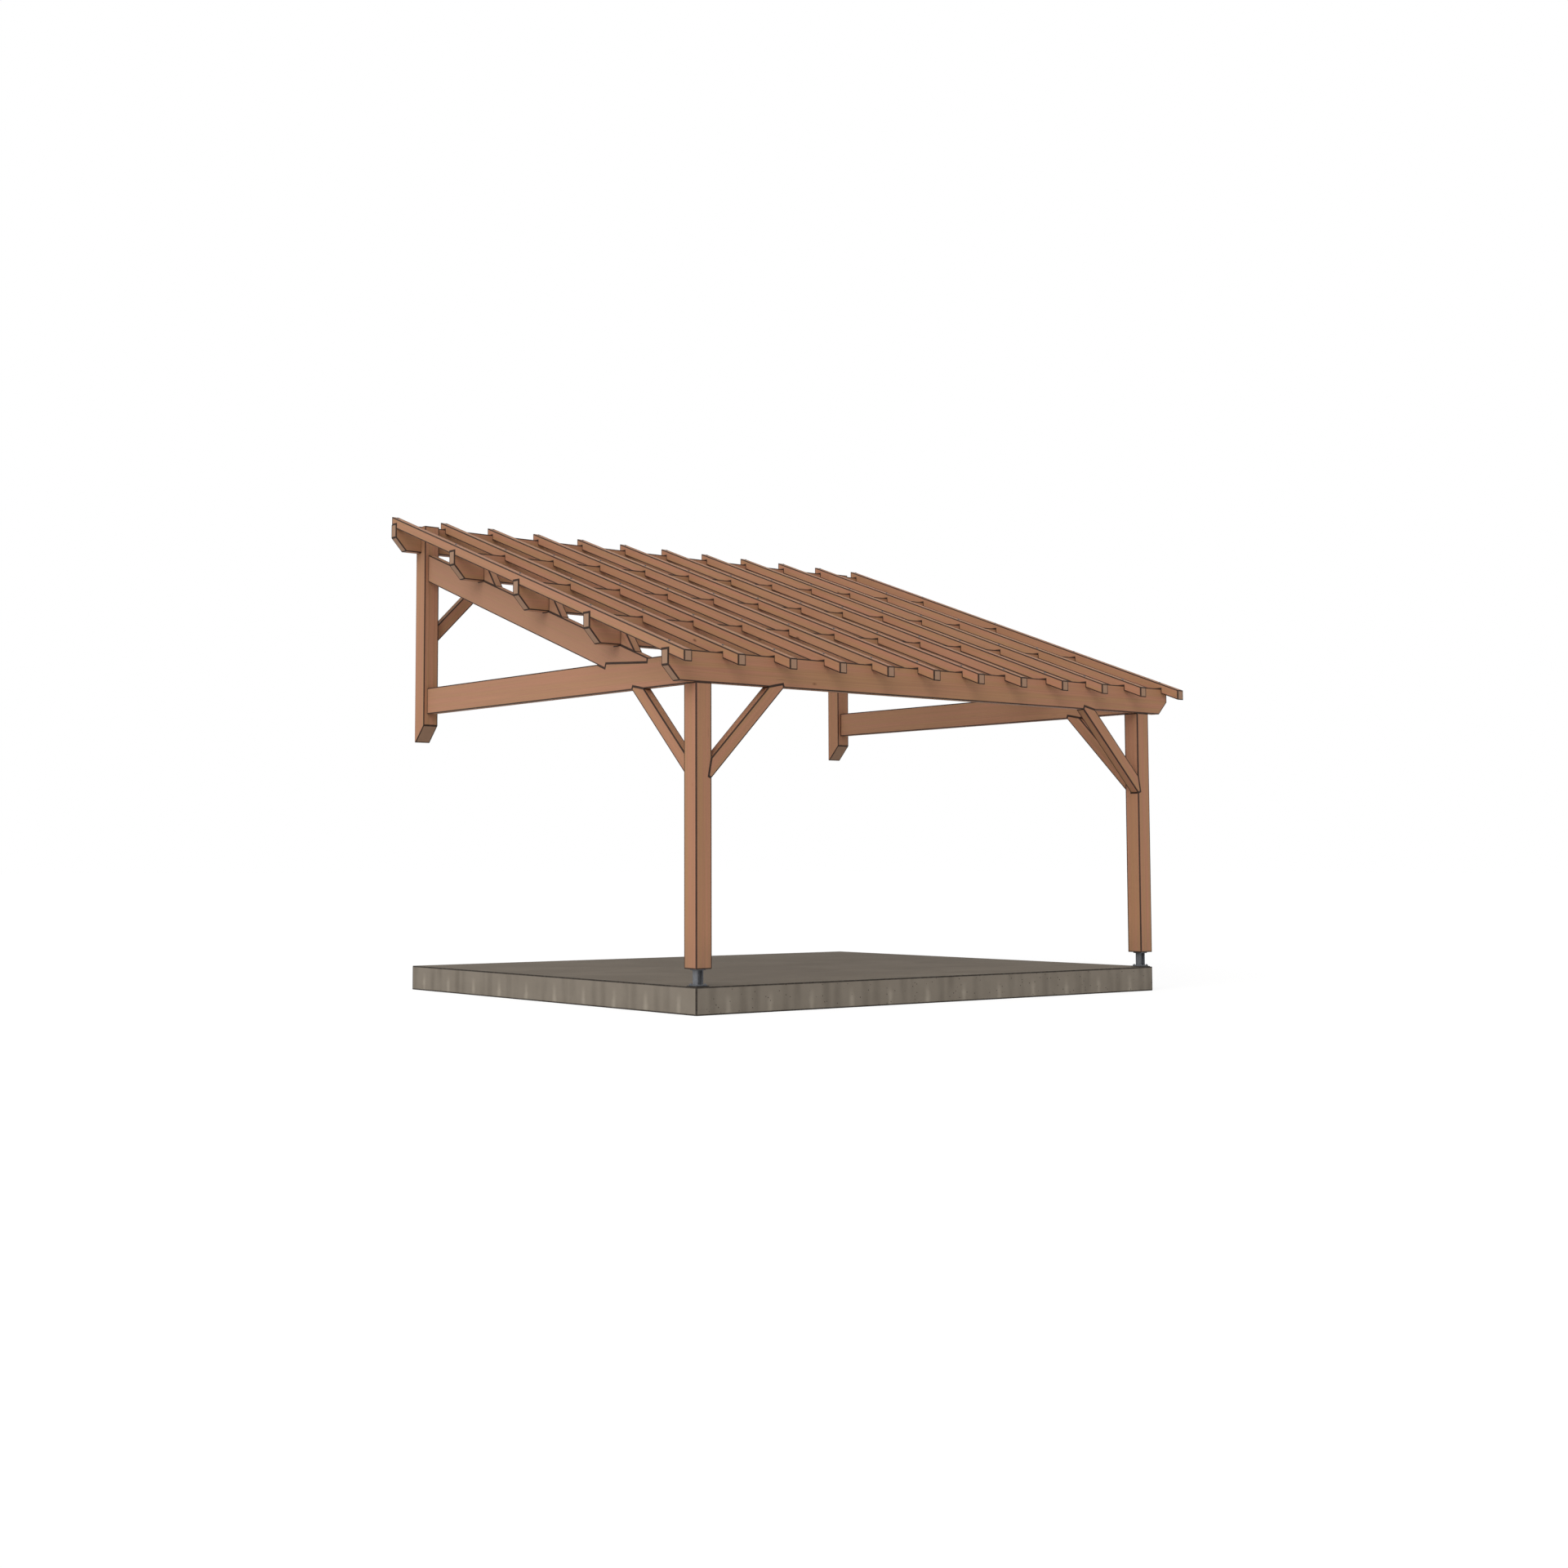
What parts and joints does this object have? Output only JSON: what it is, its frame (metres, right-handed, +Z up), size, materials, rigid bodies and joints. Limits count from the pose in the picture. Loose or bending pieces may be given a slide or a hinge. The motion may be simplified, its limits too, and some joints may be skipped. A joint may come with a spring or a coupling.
{
  "type": "lean-to carport",
  "caption": "Open timber-framed lean-to carport with knee braces, purlins and bare common rafters over a concrete parking slab.",
  "frame": {"origin": "middle of the concrete slab's underside", "axes": "+X along the front to the right, +Y from the low eave to the house wall, +Z up"},
  "size_m": [6.17, 4.707, 4.6259],
  "materials": {
    "timber": "planed softwood with a light brown glaze",
    "concrete": "board-marked cast concrete",
    "galvanised_steel": "hot-dip galvanised, dull grey",
    "rubber": "matt black bearing rubber"
  },
  "bodies": {
    "root": {"base_slab": "concrete", "base_pad_left": "rubber", "base_pad_right": "rubber", "post_base_left": "galvanised_steel", "post_base_right": "galvanised_steel", "front_post_left": "timber", "front_post_right": "timber", "wall_post_left": "timber", "wall_post_right": "timber", "eave_beam": "timber", "tie_beam_left": "timber", "tie_beam_right": "timber", "principal_rafter_left": "timber", "principal_rafter_right": "timber", "wall_purlin": "timber", "purlin_lower": "timber", "purlin_middle": "timber", "purlin_upper": "timber", "cleat_lower_left": "timber", "cleat_middle_left": "timber", "cleat_upper_left": "timber", "cleat_lower_right": "timber", "cleat_middle_right": "timber", "cleat_upper_right": "timber", "front_brace_left": "timber", "front_brace_right": "timber", "side_brace_left": "timber", "side_brace_right": "timber", "wall_brace_left": "timber", "wall_brace_right": "timber", "rafter_01": "timber", "rafter_02": "timber", "rafter_03": "timber", "rafter_04": "timber", "rafter_05": "timber", "rafter_06": "timber", "rafter_07": "timber", "rafter_08": "timber", "rafter_09": "timber", "rafter_10": "timber", "rafter_11": "timber", "rafter_12": "timber"}
  },
  "joints": []
}
